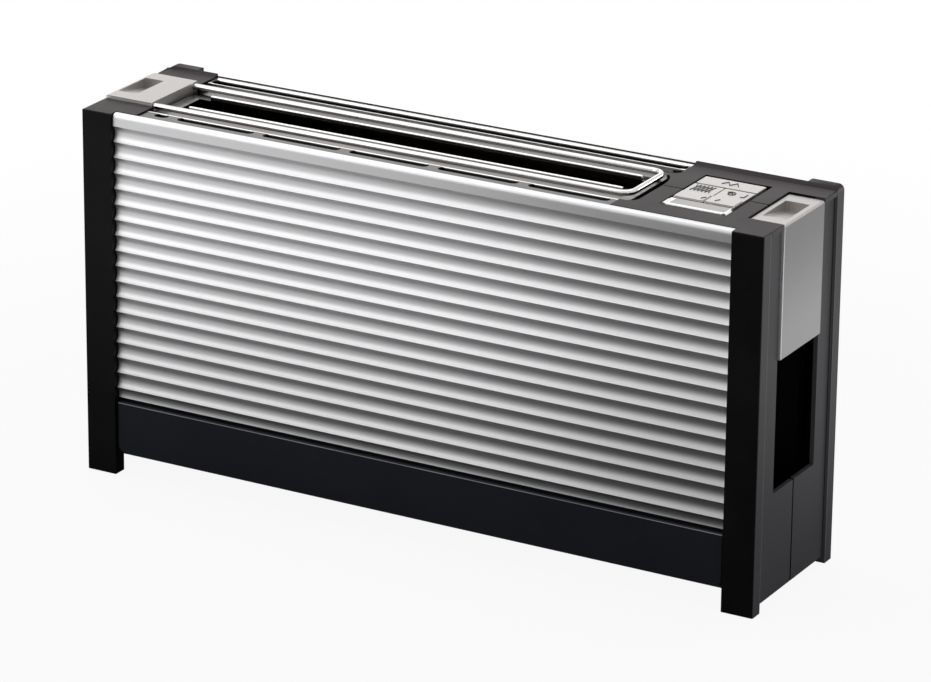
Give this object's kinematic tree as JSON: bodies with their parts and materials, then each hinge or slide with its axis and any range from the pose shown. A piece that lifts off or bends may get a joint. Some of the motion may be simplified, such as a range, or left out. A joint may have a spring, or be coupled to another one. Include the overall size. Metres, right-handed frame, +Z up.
{
  "type": "long-slot toaster",
  "caption": "Long-slot toaster with fluted metal sides, dark end housings, a flush sliding lever at each end, push keys, a rising bun-warmer frame and a crumb tray.",
  "frame": {"origin": "centre of the toaster's bounding box in plan, on the floor under its feet", "axes": "+X to the end with the keys and the carriage lever, +Y to the back, +Z up"},
  "size_m": [0.42, 0.0966, 0.2164],
  "materials": {
    "black_plastic": "moulded, lightly textured",
    "plinth_black": "smooth, semi-gloss",
    "brushed_aluminium": "fluted, brushed lengthways",
    "satin_silver": "satin metallic lacquer",
    "bright_steel": "polished",
    "plated_sheet": "plated sheet steel",
    "steel_rod": "drawn, bright",
    "spring_steel": "oiled spring wire",
    "mica": "matt, flaky",
    "heating_ribbon": "heat-tinted",
    "grey_nylon": "moulded",
    "board_green": "lacquered board",
    "copper": "enamelled winding",
    "rubber": "matt"
  },
  "bodies": {
    "body": {"end_right_front": "black_plastic", "end_right_rear": "black_plastic", "end_left_front": "black_plastic", "end_left_rear": "black_plastic", "foot_right_front": "rubber", "foot_right_rear": "rubber", "foot_left_front": "rubber", "foot_left_rear": "rubber", "front_panel": "brushed_aluminium", "rear_panel": "brushed_aluminium", "front_plinth": "plinth_black", "rear_plinth": "plinth_black", "front_vent_strip": "plated_sheet", "rear_vent_strip": "plated_sheet", "slot_surround": "bright_steel", "reflector_front": "bright_steel", "reflector_rear": "bright_steel", "heater_front": "mica", "heater_rear": "mica", "ribbon_front": "heating_ribbon", "ribbon_rear": "heating_ribbon", "guide_grid_front": "steel_rod", "guide_grid_rear": "steel_rod", "base_plate": "plated_sheet", "base_screw_1": "steel_rod", "base_screw_2": "steel_rod", "base_screw_3": "steel_rod", "base_screw_4": "steel_rod", "chassis_right": "plated_sheet", "chassis_left": "plated_sheet", "carriage_rod_front": "steel_rod", "carriage_rod_rear": "steel_rod", "warmer_rod_front": "steel_rod", "warmer_rod_rear": "steel_rod", "shoe_rod": "steel_rod", "return_spring": "spring_steel", "latch_magnet": "steel_rod", "magnet_coil": "copper", "control_board": "board_green", "board_relay": "black_plastic", "board_capacitor": "grey_nylon", "key_frame": "black_plastic", "key_board": "board_green", "switch_mat": "rubber"},
    "carriage": {"bread_rack": "plated_sheet", "carriage_slider": "grey_nylon", "rack_shoe": "grey_nylon", "armature": "steel_rod", "carriage_lever": "satin_silver"},
    "warmer": {"warmer_lever": "satin_silver", "warmer_slider": "grey_nylon", "warmer_frame": "bright_steel"},
    "defrost_key": {"key_defrost": "satin_silver"},
    "single_key": {"key_single": "satin_silver"},
    "reheat_key": {"key_reheat": "satin_silver"},
    "stop_key": {"key_stop": "satin_silver"},
    "tray": {"crumb_tray": "plated_sheet"}
  },
  "joints": [
    {"name": "carriage_slide", "type": "slide", "parent": "body", "child": "carriage", "axis": [0, 0, -1], "range_m": [0, 0.072], "stiffness_N_per_m": 70, "springref_m": -0.06, "deforming": ["return_spring"]},
    {"name": "warmer_slide", "type": "slide", "parent": "body", "child": "warmer", "axis": [0, 0, 1], "range_m": [0, 0.03]},
    {"name": "defrost_key_slide", "type": "slide", "parent": "body", "child": "defrost_key", "axis": [0, 0, -1], "range_m": [0, 0.0015], "stiffness_N_per_m": 400, "springref_m": -0.001},
    {"name": "single_key_slide", "type": "slide", "parent": "body", "child": "single_key", "axis": [0, 0, -1], "range_m": [0, 0.0015], "stiffness_N_per_m": 400, "springref_m": -0.001},
    {"name": "reheat_key_slide", "type": "slide", "parent": "body", "child": "reheat_key", "axis": [0, 0, -1], "range_m": [0, 0.0015], "stiffness_N_per_m": 400, "springref_m": -0.001},
    {"name": "stop_key_slide", "type": "slide", "parent": "body", "child": "stop_key", "axis": [0, 0, -1], "range_m": [0, 0.0015], "stiffness_N_per_m": 400, "springref_m": -0.001},
    {"name": "crumb_tray_slide", "type": "slide", "parent": "body", "child": "tray", "axis": [0, 1, 0], "range_m": [0, 0.075]}
  ]
}
